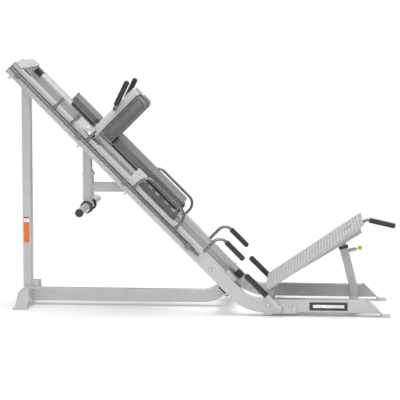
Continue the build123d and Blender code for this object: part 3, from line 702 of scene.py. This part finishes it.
# ---- labels ---------------------------------------------------------------------------------
LABEL_T = 0.0004
LABEL_ROUGHNESS = 0.35
COLUMN_PATCHES = (          # name, lower and upper edge, colour
    ("orange", 0.373, 0.494, (0.83, 0.16, 0.02)),
    ("white", 0.498, 0.518, (0.8, 0.8, 0.8)),
    ("red", 0.520, 0.529, (0.5, 0.05, 0.03)),
)
TUBE_PATCHES = (            # name, ends, half height, layer, colour
    ("dark", 0.625, 0.845, 0.024, 0, (0.03, 0.03, 0.032)),
    ("light", 0.645, 0.825, 0.009, 1, (0.8, 0.8, 0.8)),
)


def label(name, corners, y, color):
    """A thin printed patch on a face that looks across the machine, with rounded corners."""
    (x0, z0), (x1, z1) = corners
    radius = min(0.003, (z1 - z0) / 4)
    outline = rounded_outline((x0, z0), (x1, z1), (radius,) * 4, 4)
    shape = prism(outline, 0.0, LABEL_T)
    turn = axes(Vector((1, 0, 0)), Vector((0, 0, 1)), Vector((0, -1, 0)))
    bmesh.ops.transform(shape, matrix=Matrix.Translation((0, 0, -y)), verts=shape.verts)
    shape = turn_mesh(shape, turn)
    piece_from(name, shape, "frame", "powder_coat", moulded(name + "_print", color, LABEL_ROUGHNESS))


def labels():
    """A plain two-tone patch on the column and a plain striped patch on the near base tube."""
    low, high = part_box("rear_column")
    x0 = low.x + 0.006
    x1 = high.x - 0.012
    for name, z0, z1, color in COLUMN_PATCHES:
        label("column_patch_" + name, ((x0, z0), (x1, z1)), low.y, color)
    low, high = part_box("right_base_tube")
    middle = (low.z + high.z) / 2
    for name, start, end, half, layer, color in TUBE_PATCHES:
        corners = ((start, middle - half), (end, middle + half))
        label("tube_patch_" + name, corners, low.y - layer * LABEL_T, color)


# ---- stage ----------------------------------------------------------------------------------
def floor():
    """A plain pale disc of floor; beyond it the sky is as pale."""
    shape = bmesh.new()
    bmesh.ops.create_circle(shape, cap_ends=True, segments=128, radius=FLOOR_R)
    mesh = bpy.data.meshes.new("floor")
    shape.to_mesh(mesh)
    shape.free()
    plane = bpy.data.objects.new("floor", mesh)
    bpy.context.scene.collection.objects.link(plane)
    plane.location.z = cad_box[0][2] - FLOOR_GAP
    pale = new_material("floor_paint", (0.92, 0.92, 0.92), roughness=0.8, Specular_IOR_Level=0.1)
    paint(plane, pale)


def area_light(name, place, target, size, power):
    """A square softbox that faces a point."""
    data = bpy.data.lights.new(name, "AREA")
    data.shape = "SQUARE"
    data.size = size
    data.energy = power
    lamp = bpy.data.objects.new(name, data)
    lamp.location = place
    lamp.rotation_euler = (Vector(target) - Vector(place)).to_track_quat("-Z", "Y").to_euler()
    bpy.context.scene.collection.objects.link(lamp)


def sky():
    """White to the camera; to the object, a dim horizon that brightens overhead."""
    world = bpy.data.worlds.new("studio")
    world.use_nodes = True
    tree = world.node_tree
    seen = tree.nodes["Background"]
    seen.inputs["Color"].default_value = (1, 1, 1, 1)
    felt = tree.nodes.new("ShaderNodeBackground")
    felt.inputs["Strength"].default_value = SKY_STRENGTH
    place = tree.nodes.new("ShaderNodeTexCoord")
    split = tree.nodes.new("ShaderNodeSeparateXYZ")
    ramp = tree.nodes.new("ShaderNodeValToRGB")
    for level, (position, value) in enumerate(SKY_LEVELS):
        if level > 1:
            ramp.color_ramp.elements.new(position)
        ramp.color_ramp.elements[level].position = position
        ramp.color_ramp.elements[level].color = (value, value, value, 1)
    ray = tree.nodes.new("ShaderNodeLightPath")
    blend = tree.nodes.new("ShaderNodeMixShader")
    tree.links.new(place.outputs["Generated"], split.inputs["Vector"])
    tree.links.new(split.outputs["Z"], ramp.inputs["Fac"])
    tree.links.new(ramp.outputs["Color"], felt.inputs["Color"])
    tree.links.new(ray.outputs["Is Camera Ray"], blend.inputs["Fac"])
    tree.links.new(felt.outputs["Background"], blend.inputs[1])
    tree.links.new(seen.outputs["Background"], blend.inputs[2])
    tree.links.new(blend.outputs["Shader"], tree.nodes["World Output"].inputs["Surface"])
    bpy.context.scene.world = world


def light():
    """A studio sky and three softboxes."""
    sky()
    for name, place, size, power in SOFTBOXES:
        area_light(name, place, LIT_POINT, size, power)
    bpy.context.scene.view_settings.view_transform = "Standard"


def camera():
    """The photograph's viewpoint."""
    data = bpy.data.cameras.new("camera")
    data.sensor_width = 36.0
    data.lens = CAMERA_LENS
    data.clip_end = 100
    eye = bpy.data.objects.new("camera", data)
    pan = Matrix.Rotation(math.radians(CAMERA_PAN), 4, "Z")
    tilt = Matrix.Rotation(math.radians(90 - CAMERA_TILT), 4, "X")
    roll = Matrix.Rotation(math.radians(CAMERA_ROLL), 4, "Z")
    eye.matrix_world = Matrix.Translation(CAMERA_PLACE) @ pan @ tilt @ roll
    bpy.context.scene.collection.objects.link(eye)
    bpy.context.scene.camera = eye


paint_cad_nodes()
upholstery()
gap_shade_angle()
tread()
detailed_bolts("frame_bolts", "frame")
detailed_bolts("carriage_bolts", "carriage")
labels()
floor()
light()
camera()
